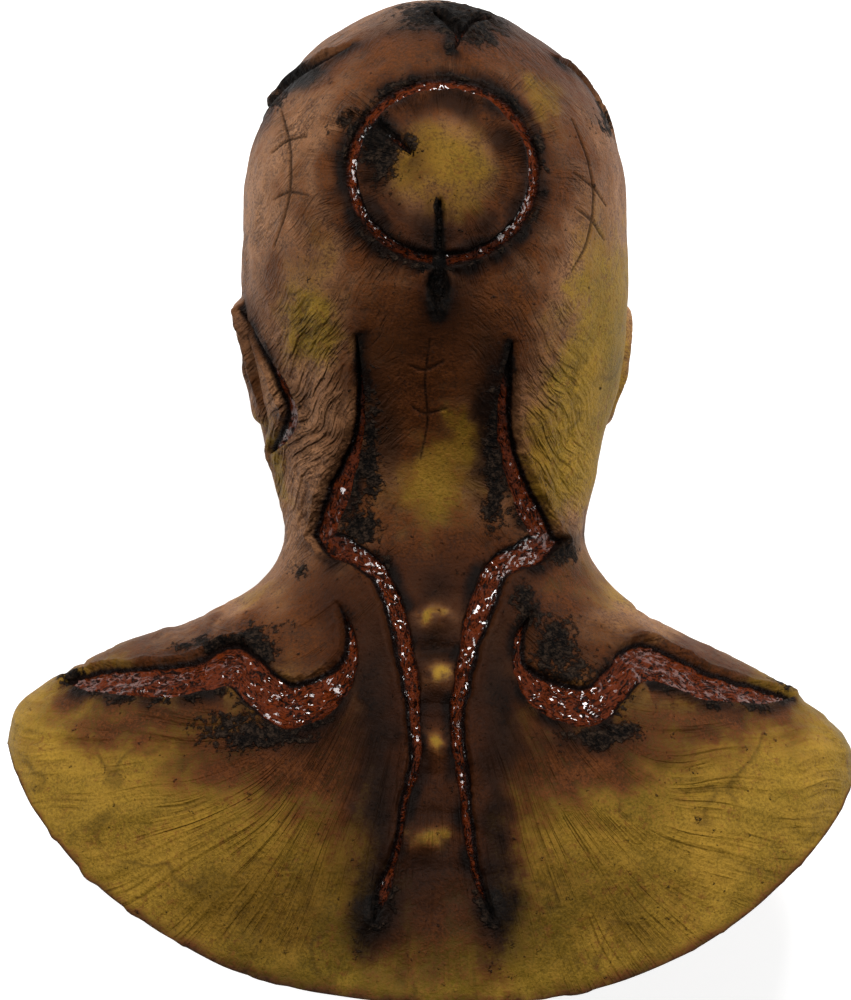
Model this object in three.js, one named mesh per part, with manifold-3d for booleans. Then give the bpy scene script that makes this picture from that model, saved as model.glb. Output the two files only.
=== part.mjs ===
// Pull-over silicone mask: a whole head, a neck and a bib that covers the shoulders, cast as one hollow skin.
// It is shaped upright with x to the right as seen from behind, y up to the crown and z out of the nape,
// and then laid face down on the tip of its nose and the front of its hem. All sizes are in millimetres.
import * as THREE from 'three';
import { mergeVertices } from 'three/addons/utils/BufferGeometryUtils.js';
import Module from 'manifold-3d';

const wasm = await Module();
wasm.setup();

// Silicone wall
const backWall = 6;
const faceWall = 4.6;
const hemWall = 2.6;
const hemTaper = 0.7;

// Wounds carved into the back
const woundDepth = 3.5;
const ringCentre = [3.5, 361];
const ringRadii = [39, 38];
const ringWidth = 6.2;

// Channels: points of a centre line with the half width there, in x and y over the back
const backChannels = {
  slit: [[2.2, 347, 1], [2.2, 330, 1.8], [1.5, 318, 2.6], [1, 312, 4.6], [1.5, 304, 1.2]],
  nick: [[-36, 386, 0.6], [-28, 382, 1.8], [-18, 375.5, 2.2], [-9, 367, 1]],
  crownLeft: [[0, 434, 1], [7, 427, 1.8], [10.5, 422, 1.8], [9, 415, 0.6]],
  crownRight: [[24, 432.5, 0.8], [17, 430, 1.5], [11.5, 422, 1.4]],
  temple: [[-75, 395, 1], [-61, 407, 1.9], [-45, 415, 1.5], [-36, 419, 0.5]],
  neckLeft: [[-33, 292, 0.6], [-32, 265, 2.2], [-33, 250, 2.8], [-37, 238, 4], [-42, 225, 5.5], [-49, 207, 5]],
  spineLeft: [
    [-53, 207, 1.5], [-44, 203, 6], [-34, 199, 5.2], [-24, 190, 4.8], [-17, 175, 4.8], [-12, 154, 4.7],
    [-9, 130, 3.8], [-8, 112, 3.4], [-13, 95, 2.2], [-16, 76, 2.2], [-22, 58, 3.5], [-26, 45, 0.8],
  ],
  neckRight: [[33, 289, 0.6], [30.5, 265, 3.4], [31, 250, 4], [35, 235, 4.4], [41, 220, 5.5], [49, 206, 5]],
  spineRight: [
    [56, 205, 1.2], [46, 202, 6.5], [36, 198, 6], [27, 192, 6], [21, 178, 6.8], [16, 163, 5.2],
    [12, 145, 4.4], [10, 128, 3.8], [12, 108, 3.4], [14, 90, 3], [17, 68, 2.6], [25, 46, 0.8],
  ],
  shoulderLeft: [
    [-163, 143, 0.8], [-146, 144, 5.5], [-118, 145, 7.4], [-100, 148, 7.4], [-86, 152, 9.2], [-75, 143, 9.4],
    [-64, 136, 10], [-52, 138, 9], [-41, 146, 6.6], [-36, 156, 4], [-37, 168, 2.4], [-41, 177, 0.6],
  ],
  shoulderRight: [
    [158, 136, 0.6], [143, 138, 4.2], [118, 143, 6.4], [100, 151, 7], [88, 153, 8.6], [78, 144, 8],
    [68, 136, 9], [57, 136, 8.6], [45, 142, 7], [37, 152, 4], [37, 164, 2.6], [41, 173, 0.6],
  ],
};

// The same over the sides of the head, in z and y
const earWound = [[19, 306, 0.8], [32, 296, 2.6], [41, 283, 3.4], [45, 270, 3.8], [42, 258, 3.4], [30, 249, 3],
  [12, 243, 1]];
const templeWound = [[33, 414, 0.8], [21, 411, 2.2], [12, 401, 2.4], [5, 388, 2.4], [-3, 374, 2.2], [-15, 362, 0.8]];
const sideReach = [30, 130];

// Knobs of the backbone: place and half sizes
const knobs = [[1, 171], [1, 147], [0.5, 118], [-4, 81]];
const knobSize = [5.5, 7, 4];
const knobSunk = 1.4;

// Ears, cropped and pressed flat: the left one stands further back
const earSize = [5, 28, 15];
const earHollow = [4, 15, 8];
const ears = [[-81.5, 284, 12], [81.5, 284, -12]];

// Openings of the face
const eyeCentre = [32, 322];
const eyeSize = [30, 11];
const mouthCentre = [0, 251];
const mouthSize = [42, 2.8];
const nostril = [7, 275, -107];
const nostrilSize = [3.2, 4.5, 4.5];
const faceDepth = [50, 150];

// Crown dome: widest level at the back, sides and front, and how far each rises to the crown
const domeBase = { backY: 335, sideY: 355, frontY: 352 };
const domeRise = { backY: 109, sideY: 89, frontY: 92 };
const domeReach = { back: 94, side: 85, front: 103 };
const domeMid = 6;
const bodyMid = 2;
const domeRows = 6;

// Level sections from the brow down to the hem: height and depth at the back,
// height and half width at the sides, height and depth at the front
const sections = [
  [335, 100, 355, 85, 352, 97],
  [308, 95, 324, 86, 326, 93],
  [284, 84, 299, 85.5, 300, 95],
  [262, 72, 273, 82, 270, 98],
  [242, 63, 251, 76, 244, 98],
  [224, 59, 233, 72, 218, 95],
  [208, 58.5, 215, 67.5, 206, 78],
  [192, 60.5, 200, 68.5, 199, 61],
  [174, 65, 184, 80, 182, 57],
  [154, 71, 169, 104, 162, 61],
  [128, 78, 155, 138, 140, 70],
  [96, 84, 139, 166, 114, 81],
  [54, 89, 125, 184, 84, 90],
  [11, 92, 110, 188, 46, 97],
];
const lastSection = sections.length - 1;

// The bib hangs a little higher on its left shoulder
const bibTilt = 0.036;
const tiltFrom = 6;
const tiltOver = 5;

// How the mask lies: on the tip of the nose and the front of the hem, both pressed flat by flatSpot
const noseLevel = 2.53;
const flatSpot = 4;

// Small helpers
const clamp01 = (v) => Math.min(1, Math.max(0, v));
const smooth = (v) => clamp01(v) ** 2 * (3 - 2 * clamp01(v));
const mix = (a, b, f) => a + (b - a) * f;
const bump = (x, y, [cx, cy, sx, sy, height]) =>
  height * Math.exp(-(((x - cx) / sx) ** 2) - ((y - cy) / sy) ** 2);
const both = ([cx, ...rest]) => [[cx, ...rest], [-cx, ...rest]];

// Section at level t: below zero on the dome, from 0 at the brow to lastSection at the hem
function sectionAt(t) {
  if (t < 0) {
    const angle = (Math.PI / 2) * (1 + t);
    const out = Math.sin(angle);
    const up = Math.cos(angle);
    return {
      backY: domeBase.backY + domeRise.backY * up,
      backZ: domeMid + domeReach.back * out,
      sideY: domeBase.sideY + domeRise.sideY * up,
      sideX: domeReach.side * out ** 1.1,
      frontY: domeBase.frontY + domeRise.frontY * up,
      frontZ: domeMid - domeReach.front * out,
      midZ: mix(bodyMid, domeMid, up),
    };
  }
  const i = Math.min(Math.floor(t), lastSection - 1);
  const f = t - i;
  const at = (row, k) => sections[Math.min(Math.max(row, 0), lastSection)][k];
  const blend = (k) => {
    const [a, b, c] = [at(i - 1, k), at(i, k), at(i + 1, k)];
    const d = i + 2 > lastSection ? 2 * c - b : at(i + 2, k);
    return 0.5 * (2 * b + (c - a) * f + (2 * a - 5 * b + 4 * c - d) * f * f + (3 * b - a - 3 * c + d) * f ** 3);
  };
  return {
    backY: blend(0), backZ: blend(1), sideY: blend(2), sideX: blend(3),
    frontY: blend(4), frontZ: -blend(5), midZ: bodyMid,
  };
}

// Plain skin point at angle phi around the section, 0 at the nape and pi at the nose
function skin(phi, t) {
  const s = sectionAt(t);
  const square = 2 + 0.35 * smooth((t - 8) / 5);
  const c = Math.cos(phi);
  const sx = Math.sin(phi);
  const front = c < 0;
  const x = s.sideX * Math.sign(sx) * Math.abs(sx) ** (2 / square);
  const y = mix(s.sideY, front ? s.frontY : s.backY, Math.abs(c) ** 1.6);
  const z = mix(s.midZ, front ? s.frontZ : s.backZ, Math.abs(c) ** (2 / square));
  const tilt = bibTilt * smooth((t - tiltFrom) / tiltOver);
  return new THREE.Vector3(x + (y - 150) * tilt, y - x * tilt, z);
}

// Swells and hollows of the back: occiput, nape hollow, spine furrow and shoulder blades
const backForms = [
  [3, 330, 34, 26, 3],
  [0, 236, 20, 26, -2.5],
  [0, 120, 11, 60, -3],
  ...both([70, 95, 30, 34, 4]),
  ...both([28, 180, 12, 30, 2.5]),
];

// Broad forms of the face, which the inside follows too
const faceForms = [
  [0, 287, 12, 15, 13],
  [0, 303, 8, 18, 7],
  ...both([32, 321, 15, 11, -9]),
  ...both([48, 300, 16, 13, 4]),
  [0, 338, 40, 9, 4],
  [0, 228, 17, 10, 4.5],
  [0, 251, 26, 13, 3],
];

// Finer forms of the face: bridge, tip and wings of the nose, lips, lids and folds
const faceDetail = [
  [0, 308, 5, 14, 4],
  [0, 283, 8, 8, 8],
  ...both([12, 280, 6, 5.5, 7]),
  [0, 256, 15, 3.2, 2.4],
  [0, 246, 13, 3.6, 3],
  [0, 238, 16, 3, -2],
  [0, 266, 3, 5, -1.2],
  ...both([32, 330, 15, 3.4, 3.2]),
  ...both([32, 314, 14, 3.2, 2.2]),
  ...both([25, 264, 4, 13, -1.8]),
  ...both([30, 338, 16, 4, 2]),
];

// Collar bones and the two neck muscles at the front
const frontForms = [
  ...both([45, 148, 34, 6, 3]),
  ...both([22, 172, 9, 22, 2.5]),
  [0, 150, 8, 9, -3],
];

const total = (forms, x, y) => forms.reduce((sum, form) => sum + bump(x, y, form), 0);

// Skin with the given forms raised on its back and its face
function shaped(phi, t, faceList) {
  const p = skin(phi, t);
  const facing = Math.cos(phi);
  const weight = smooth(Math.abs(facing) * 2.2);
  if (facing > 0) p.z += weight * total(backForms, p.x, p.y);
  else p.z -= weight * total(faceList, p.x, p.y);
  return p;
}

// Unit vector out of the skin
function outwards(phi, t) {
  if (t <= -1) return new THREE.Vector3(0, 1, 0);
  const step = 0.01;
  const level = Math.min(t, lastSection - step);
  const around = skin(phi + step, level).sub(skin(phi - step, level));
  const down = skin(phi, level + step).sub(skin(phi, level - step));
  return down.cross(around).normalize();
}

// Pitch that sets the nose and the hem down together, and the height of the table under them
const noseTip = shaped(Math.PI, noseLevel, [...faceForms, ...faceDetail]);
const hemFront = skin(Math.PI, lastSection);
const layPitch = Math.atan2(hemFront.z - noseTip.z, noseTip.y - hemFront.y);
const up = new THREE.Vector3(0, Math.sin(layPitch), Math.cos(layPitch));
const table = Math.min(noseTip.dot(up), hemFront.dot(up)) + flatSpot;

// Keeps the inside at least a wall above the table
function lifted(p, wall) {
  const short = table + wall - p.dot(up);
  return short > 0 ? p.addScaledVector(up, short) : p;
}

const outerPoint = (phi, t) => shaped(phi, t, [...faceForms, ...faceDetail, ...frontForms]);

function innerPoint(phi, t) {
  const full = mix(faceWall, backWall, smooth(0.5 + Math.cos(phi)));
  const wall = mix(full, hemWall, smooth(1 - (lastSection - t) / hemTaper));
  const p = shaped(phi, t, [...faceForms, ...frontForms]).addScaledVector(outwards(phi, t), -wall);
  return lifted(p, wall);
}

const corePoint = (phi, t) => outerPoint(phi, t).addScaledVector(outwards(phi, t), -woundDepth);

// Angles around the head, closer together at the nape and on the face
function angles(backCount, frontCount, backCrowding, faceCrowding) {
  const half = (count, from, crowding) => Array.from({ length: count }, (_, k) => {
    const f = (k / count) * 2 - 1;
    return from + (Math.PI / 2) * (f - (crowding * Math.sin(Math.PI * f)) / Math.PI);
  });
  return [...half(backCount, 0, backCrowding), ...half(frontCount, Math.PI, faceCrowding)];
}

// Levels from the crown to the hem; the face has extra ones between chin and brow
function levels(dome, perSection) {
  const list = Array.from({ length: dome }, (_, k) => -1 + (k + 1) / dome);
  for (let k = 1; k <= lastSection * perSection; k += 1) list.push(k / perSection);
  return list;
}

// Stitches two rows of points whose keys run the same way
function stitch(a, b, keyA, keyB, faces) {
  let i = 0;
  let j = 0;
  while (i < a.length - 1 || j < b.length - 1) {
    const stepA = j === b.length - 1 || (i < a.length - 1 && keyA[i + 1] + keyA[i] < keyB[j + 1] + keyB[j]);
    if (stepA) faces.push([a[i], a[i + 1], b[j]]);
    else faces.push([a[i], b[j + 1], b[j]]);
    if (stepA) i += 1;
    else j += 1;
  }
}

// One skin as a list of points and faces, with its bottom rim
function sheet(pointAt, phis, levelsAt, points, faces) {
  const crown = points.push(pointAt(0, -1)) - 1;
  const columns = phis.map((phi) => {
    const keys = [-1, ...levelsAt(phi)];
    const ids = keys.map((t, k) => (k === 0 ? crown : points.push(pointAt(phi, t)) - 1));
    return { keys, ids };
  });
  columns.forEach((column, k) => {
    const next = columns[(k + 1) % columns.length];
    const made = [];
    stitch(column.ids, next.ids, column.keys, next.keys, made);
    faces.push(...made.filter(([p, q, r]) => p !== q && q !== r && p !== r));
  });
  return columns.map((column) => column.ids[column.ids.length - 1]);
}

function solid(geometry) {
  const bare = new THREE.BufferGeometry();
  bare.setAttribute('position', geometry.getAttribute('position'));
  if (geometry.index) bare.setIndex(geometry.index);
  const merged = mergeVertices(bare, 1e-4);
  return new wasm.Manifold(new wasm.Mesh({
    numProp: 3,
    vertProperties: new Float32Array(merged.getAttribute('position').array),
    triVerts: new Uint32Array(merged.index.array),
  }));
}

function fromFaces(points, faces) {
  const geometry = new THREE.BufferGeometry();
  geometry.setAttribute('position', new THREE.BufferAttribute(
    new Float32Array(points.flatMap((p) => [p.x, p.y, p.z])), 3));
  geometry.setIndex(faces.flat());
  return geometry;
}

const isFace = (phi) => Math.cos(phi) < -0.55;
const coarse = levels(domeRows, 2);
const fine = [...coarse, ...Array.from({ length: 11 }, (_, k) => k / 2 + 0.25)].sort((a, b) => a - b);
const outerPhis = angles(24, 32, 0.3, 0.5);
const innerPhis = angles(12, 18, 0.2, 0.3);
const corePhis = angles(18, 14, 0.3, 0);

// Hollow skin: outer sheet, inner sheet turned over, and the hem edge between them
function hollowSkin() {
  const points = [];
  const faces = [];
  const outerRim = sheet(outerPoint, outerPhis, (phi) => (isFace(phi) ? fine : coarse), points, faces);
  const innerFaces = [];
  const innerRim = sheet(innerPoint, innerPhis, () => levels(4, 1), points, innerFaces);
  faces.push(...innerFaces.map(([a, b, c]) => [a, c, b]));
  const close = (ids, phis) => [[...ids, ids[0]], [...phis, phis[0] + 2 * Math.PI]];
  const [outerIds, outerKeys] = close(outerRim, outerPhis);
  const [innerIds, innerKeys] = close(innerRim, innerPhis);
  stitch(innerIds, outerIds, innerKeys, outerKeys, faces);
  return solid(fromFaces(points, faces));
}

// Solid below the floor of the wounds, closed across the hem
function coreSolid() {
  const points = [];
  const faces = [];
  const rim = sheet(corePoint, corePhis, () => levels(domeRows, 1), points, faces);
  const centre = points.push(new THREE.Vector3(0, 0, 0)) - 1;
  rim.forEach((id, k) => faces.push([id, centre, rim[(k + 1) % rim.length]]));
  return solid(fromFaces(points, faces));
}

// Outline of a channel that swells and narrows along its centre line
function channelShape(path) {
  const line = new THREE.CatmullRomCurve3(path.map((p) => new THREE.Vector3(...p)), false, 'catmullrom', 0.5);
  const marks = line.getPoints(path.length + 3);
  const side = (sign) => marks.map((p, k) => {
    const along = marks[Math.min(k + 1, marks.length - 1)].clone().sub(marks[Math.max(k - 1, 0)]);
    const length = Math.hypot(along.x, along.y);
    const width = Math.max(p.z, 0.3) * sign;
    return new THREE.Vector2(p.x - (along.y / length) * width, p.y + (along.x / length) * width);
  });
  return new THREE.Shape([...side(1), ...side(-1).reverse()]);
}

function prism(shape, from, to) {
  return new THREE.ExtrudeGeometry(shape, { depth: to - from, bevelEnabled: false, curveSegments: 10 })
    .translate(0, 0, from);
}

// A prism drawn in z and y that runs out to the left or right of the head
function sidePrism(path, right) {
  const geometry = prism(channelShape(path.map(([z, y, w]) => [right ? -z : z, y, w])), ...sideReach);
  return geometry.rotateY(right ? Math.PI / 2 : -Math.PI / 2);
}

// Lens shaped opening with its corners at the ends of its width
function lens([cx, cy], [width, height]) {
  const shape = new THREE.Shape();
  shape.moveTo(cx - width / 2, cy);
  shape.quadraticCurveTo(cx, cy + height, cx + width / 2, cy);
  shape.quadraticCurveTo(cx, cy - height, cx - width / 2, cy);
  return shape;
}

function ringShape() {
  const ellipse = (grow) => new THREE.EllipseCurve(
    ...ringCentre, ringRadii[0] + grow, ringRadii[1] + grow).getPoints(26).slice(1);
  const shape = new THREE.Shape(ellipse(ringWidth / 2));
  shape.holes.push(new THREE.Path(ellipse(-ringWidth / 2)));
  return shape;
}

const ball = (place, size) =>
  new THREE.SphereGeometry(1, 8, 6).scale(...size).translate(...place);

// Height of the back over a place, found by halving the level and the angle in turn
function backAt(x, y) {
  const halve = (low, high, above) => {
    let [a, b] = [low, high];
    for (let k = 0; k < 24; k += 1) {
      const middle = (a + b) / 2;
      if (above(middle)) a = middle;
      else b = middle;
    }
    return (a + b) / 2;
  };
  const angleAt = (t) => halve(-1.2, 1.2, (phi) => skin(phi, t).x < x);
  const level = halve(-0.9, lastSection, (t) => skin(angleAt(t), t).y > y);
  return outerPoint(angleAt(level), level).z;
}

const union = (list) => wasm.Manifold.union(list);

function maskSolid() {
  const wounds = union([
    solid(prism(ringShape(), 0, 130)),
    ...Object.values(backChannels).map((path) => solid(prism(channelShape(path), 0, 130))),
    solid(sidePrism(earWound, false)),
    solid(sidePrism(templeWound, true)),
  ]);
  const openings = union([
    ...[-1, 1].map((side) => solid(prism(
      lens([side * eyeCentre[0], eyeCentre[1]], eyeSize), -faceDepth[1], -faceDepth[0]))),
    solid(prism(lens(mouthCentre, mouthSize), -faceDepth[1], -faceDepth[0])),
    ...[-1, 1].map((side) => solid(ball([side * nostril[0], nostril[1], nostril[2]], nostrilSize))),
  ]);
  const core = coreSolid();
  const raised = union([
    ...knobs.map(([x, y]) => solid(ball([x, y, backAt(x, y) - knobSunk], knobSize))),
    ...ears.map(([x, y, z]) => solid(ball([x, y, z], earSize))
      .subtract(solid(ball([x + Math.sign(x) * 5, y + 2, z], earHollow)))),
  ]).subtract(core);
  const slab = solid(new THREE.BoxGeometry(500, 700, 40).translate(0, 0, table - 20).rotateX(-layPitch));
  const whole = hollowSkin().add(raised).subtract(wounds.subtract(core)).subtract(openings).subtract(slab);
  return whole.decompose().sort((a, b) => b.volume() - a.volume())[0];
}

// Lays the finished solid down, its box centred on the origin and its lowest points on z = 0
function laidDown(shape) {
  const { vertProperties, triVerts, numProp } = shape.getMesh();
  const position = new Float32Array((vertProperties.length / numProp) * 3);
  for (let k = 0; k < position.length / 3; k += 1) {
    position.set(vertProperties.subarray(k * numProp, k * numProp + 3), k * 3);
  }
  const geometry = new THREE.BufferGeometry();
  geometry.setAttribute('position', new THREE.BufferAttribute(position, 3));
  geometry.setIndex([...triVerts]);
  geometry.rotateX(layPitch).translate(0, 0, -table);
  geometry.computeBoundingBox();
  const centre = geometry.boundingBox.getCenter(new THREE.Vector3());
  return geometry.translate(-centre.x, -centre.y, 0);
}

const geometry = laidDown(maskSolid());
geometry.computeVertexNormals();

const silicone = new THREE.MeshStandardMaterial({ color: 0x6b5535, roughness: 0.55, metalness: 0 });
const mask = new THREE.Mesh(geometry, silicone);
mask.name = 'mask_skin';

const group = new THREE.Group();
group.add(mask);
export default group;
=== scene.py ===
import math
import bpy
import numpy as np
from mathutils import Matrix, Vector


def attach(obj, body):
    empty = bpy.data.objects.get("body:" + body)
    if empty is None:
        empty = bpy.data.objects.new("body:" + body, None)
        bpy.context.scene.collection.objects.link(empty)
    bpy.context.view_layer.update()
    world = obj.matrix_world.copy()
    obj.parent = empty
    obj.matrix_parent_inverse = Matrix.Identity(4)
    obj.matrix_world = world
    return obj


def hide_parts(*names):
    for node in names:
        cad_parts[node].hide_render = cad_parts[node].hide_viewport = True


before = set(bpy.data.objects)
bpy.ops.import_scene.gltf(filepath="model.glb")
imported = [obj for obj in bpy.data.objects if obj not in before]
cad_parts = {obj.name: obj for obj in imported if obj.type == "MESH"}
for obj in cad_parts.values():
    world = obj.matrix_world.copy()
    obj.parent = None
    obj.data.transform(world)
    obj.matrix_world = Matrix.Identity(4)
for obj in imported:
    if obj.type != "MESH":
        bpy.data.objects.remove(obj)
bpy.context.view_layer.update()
print("frame loaded")

# The mask is shaped upright in millimetres, at the places of the solids: x to the right as seen from
# behind, y up to the crown and z out of the nape. Then it is laid face down
lay = {"pitch": 0.09541940579158334, "table": -88.17611404440774, "centreX": -1.44000244140625,
       "centreY": 221.70391017198563}


def laidDown(points):
    x, y, z = np.moveaxis(np.asarray(points, float), -1, 0)
    c, s = math.cos(lay["pitch"]), math.sin(lay["pitch"])
    row = [x - lay["centreX"], y * c - z * s - lay["centreY"], z * c + y * s - lay["table"]]
    return np.stack(row, -1) / 1000


farOff = -99.0  # well outside a cut, a stroke or an opening
manyPoints = 10 ** 7  # more than the mesh has, to number a pair of points


# Small helpers
def smooth(v):
    v = np.clip(v, 0, 1)
    return v * v * (3 - 2 * v)


def rising(v, start, span):
    # 0 before the start and 1 a span further; a negative span falls
    return smooth((v - start) / span)


def mix(a, b, f):
    return a + (b - a) * f


def unit(v):
    return v / np.maximum(np.linalg.norm(v, axis=-1, keepdims=True), 1e-12)


def both(form):
    return [tuple(form), (-form[0],) + tuple(form[1:])]


def bumps(forms, x, y):
    total = np.zeros_like(x)
    for cx, cy, sx, sy, height in forms:
        total += height * np.exp(-((x - cx) / sx) ** 2 - ((y - cy) / sy) ** 2)
    return total


def bell(v, at, width):
    return np.exp(-((v - at) / width) ** 2)


def curved(a, b, c, d, f):
    # a smooth curve from b to c, which a and d come before and after
    return 0.5 * (2 * b + (c - a) * f + (2 * a - 5 * b + 4 * c - d) * f ** 2 + (3 * b - a - 3 * c + d) * f ** 3)


class Lattice:
    # Smooth random values on a lattice, the same on every run
    gain, shift = 1.7, 17.3  # brings the values to about 1, and keeps the octaves apart

    def __init__(self, seed):
        rng = np.random.default_rng(seed)
        self.order = rng.permutation(256)
        self.slopes = unit(rng.normal(size=(256, 3)))
        self.spots = rng.random((256, 3))

    def pick(self, cell):
        x, y, z = (cell[:, k] & 255 for k in range(3))
        return self.order[(self.order[(self.order[x] + y) & 255] + z) & 255]

    def noise(self, points, size, octaves=1, rough=0.5):
        total, weight, whole = 0, 1.0, 0.0
        for k in range(octaves):
            p = points / size * 2 ** k + self.shift * k
            cell = np.floor(p).astype(int)
            f = p - cell
            fade = f * f * f * (f * (f * 6 - 15) + 10)
            layer = 0
            for corner in np.ndindex(2, 2, 2):
                corner = np.array(corner)
                slope = self.slopes[self.pick(cell + corner)]
                share = np.prod(np.where(corner, fade, 1 - fade), axis=1)
                layer = layer + ((f - corner) * slope).sum(1) * share
            total = total + layer * weight * self.gain
            whole += weight
            weight *= rough
        return total / whole

    def cells(self, points, size):
        # distances to the nearest and the next of scattered spots, in sizes
        p = points / size
        cell = np.floor(p).astype(int)
        first = np.full(len(p), 9.0)
        second = np.full(len(p), 9.0)
        for shift in np.ndindex(3, 3, 3):
            near = cell + np.array(shift) - 1
            gap = np.linalg.norm(near + self.spots[self.pick(near)] - p, axis=1)
            second = np.minimum(second, np.maximum(first, gap))
            first = np.minimum(first, gap)
        return first, second


broad, middle, fine = Lattice(3), Lattice(8), Lattice(21)

# The skin: level sections, how they join, and the wall's thickness
wall = {"back": 6, "face": 4.6, "hem": 2.6, "hemTaper": 0.7}
dome = {"backY": (335, 109), "backZ": (6, 94), "sideY": (355, 89), "sideX": 85, "sideFlat": 1.1, "frontY": (352, 92),
        "frontZ": (6, -103), "midZ": (2, 6)}
# The bib's sections turn squarer, and it hangs a little askew
bib = {"square": 0.35, "squareFrom": 8, "tilt": 0.036, "tiltFrom": 6, "span": 5, "pivotY": 150}
# Height and depth at the back, height and half width at the sides, height and depth at the front
sections = np.array([
    (335, 100, 355, 85, 352, -97), (308, 95, 324, 86, 326, -93), (284, 84, 299, 85.5, 300, -95),
    (262, 72, 273, 82, 270, -98), (242, 63, 251, 76, 244, -98), (224, 59, 233, 72, 218, -95),
    (208, 58.5, 215, 67.5, 206, -78), (192, 60.5, 200, 68.5, 199, -61), (174, 65, 184, 80, 182, -57),
    (154, 71, 169, 104, 162, -61), (128, 78, 155, 138, 140, -70), (96, 84, 139, 166, 114, -81),
    (54, 89, 125, 184, 84, -90), (11, 92, 110, 188, 46, -97)], float)
hem = len(sections) - 1
# Soft forms on the back and the front: place, half sizes and height
backForms = [(3, 330, 34, 26, 3), (0, 236, 20, 26, -2.5), (0, 120, 11, 60, -3),
             *both((70, 95, 30, 34, 4)), *both((28, 180, 12, 30, 2.5))]
faceForms = [(0, 287, 12, 15, 13), (0, 303, 8, 18, 7), *both((32, 321, 15, 11, -9)),
             *both((48, 300, 16, 13, 4)), (0, 338, 40, 9, 4), (0, 228, 17, 10, 4.5), (0, 251, 26, 13, 3)]
faceDetail = [(0, 308, 5, 14, 4), (0, 283, 8, 8, 8), *both((12, 280, 6, 5.5, 7)), (0, 256, 15, 3.2, 2.4),
              (0, 246, 13, 3.6, 3), (0, 238, 16, 3, -2), (0, 266, 3, 5, -1.2), *both((32, 330, 15, 3.4, 3.2)),
              *both((32, 314, 14, 3.2, 2.2)), *both((25, 264, 4, 13, -1.8)), *both((30, 338, 16, 4, 2))]
frontForms = [*both((45, 148, 34, 6, 3)), *both((22, 172, 9, 22, 2.5)), (0, 150, 8, 9, -3)]


def sectionAt(t):
    i = np.clip(np.floor(t).astype(int), 0, hem - 1)
    f = (t - i)[:, None]
    a, b, c = sections[np.maximum(i - 1, 0)], sections[i], sections[i + 1]
    d = np.where((i + 2 > hem)[:, None], 2 * c - b, sections[np.minimum(i + 2, hem)])
    body = np.column_stack([curved(a, b, c, d, f), np.full(len(t), dome["midZ"][0])])
    angle = math.pi / 2 * (1 + np.clip(t, -1, 0))
    out, up = np.sin(angle), np.cos(angle)
    backY, backZ, sideY, frontY, frontZ = (dome[name][0] + dome[name][1] * share for name, share in (
        ("backY", up), ("backZ", out), ("sideY", up), ("frontY", up), ("frontZ", out)))
    top = [backY, backZ, sideY, dome["sideX"] * out ** dome["sideFlat"], frontY, frontZ, mix(*dome["midZ"], up)]
    return np.where((t < 0)[:, None], np.stack(top, -1), body)


# A place on the skin is kept as the sine and cosine of its angle, 0 at the nape, and its level,
# -1 at the crown, 0 at the brow and the last section at the hem
def skin(places):
    s, c, t = places.T
    backY, backZ, sideY, sideX, frontY, frontZ, midZ = sectionAt(t).T
    square = 2 + bib["square"] * rising(t, bib["squareFrom"], bib["span"])
    front = c < 0
    x = sideX * np.sign(s) * np.abs(s) ** (2 / square)
    y = mix(sideY, np.where(front, frontY, backY), np.abs(c) ** 1.6)
    z = mix(midZ, np.where(front, frontZ, backZ), np.abs(c) ** (2 / square))
    tilt = bib["tilt"] * rising(t, bib["tiltFrom"], bib["span"])
    return np.stack([x + (y - bib["pivotY"]) * tilt, y - x * tilt, z], -1)


def turned(places, angle, down):
    s, c, t = places.T
    ca, sa = math.cos(angle), math.sin(angle)
    return np.stack([s * ca + c * sa, c * ca - s * sa, np.clip(t + down, -1, hem)], -1)


def outwards(places, step=0.01):
    around = skin(turned(places, step, 0)) - skin(turned(places, -step, 0))
    down = skin(turned(places, 0, step)) - skin(turned(places, 0, -step))
    normal = unit(np.cross(down, around))
    normal[places[:, 2] <= -0.9995] = (0, 1, 0)  # the crown's own point
    return normal


def shaped(places, faceList):
    p = skin(places)
    facing = places[:, 1]
    weight = smooth(np.abs(facing) * 2.2)  # the forms fade towards the sides
    rise = np.where(facing > 0, bumps(backForms, p[:, 0], p[:, 1]), -bumps(faceList, p[:, 0], p[:, 1]))
    p[:, 2] += weight * rise
    return p


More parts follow.
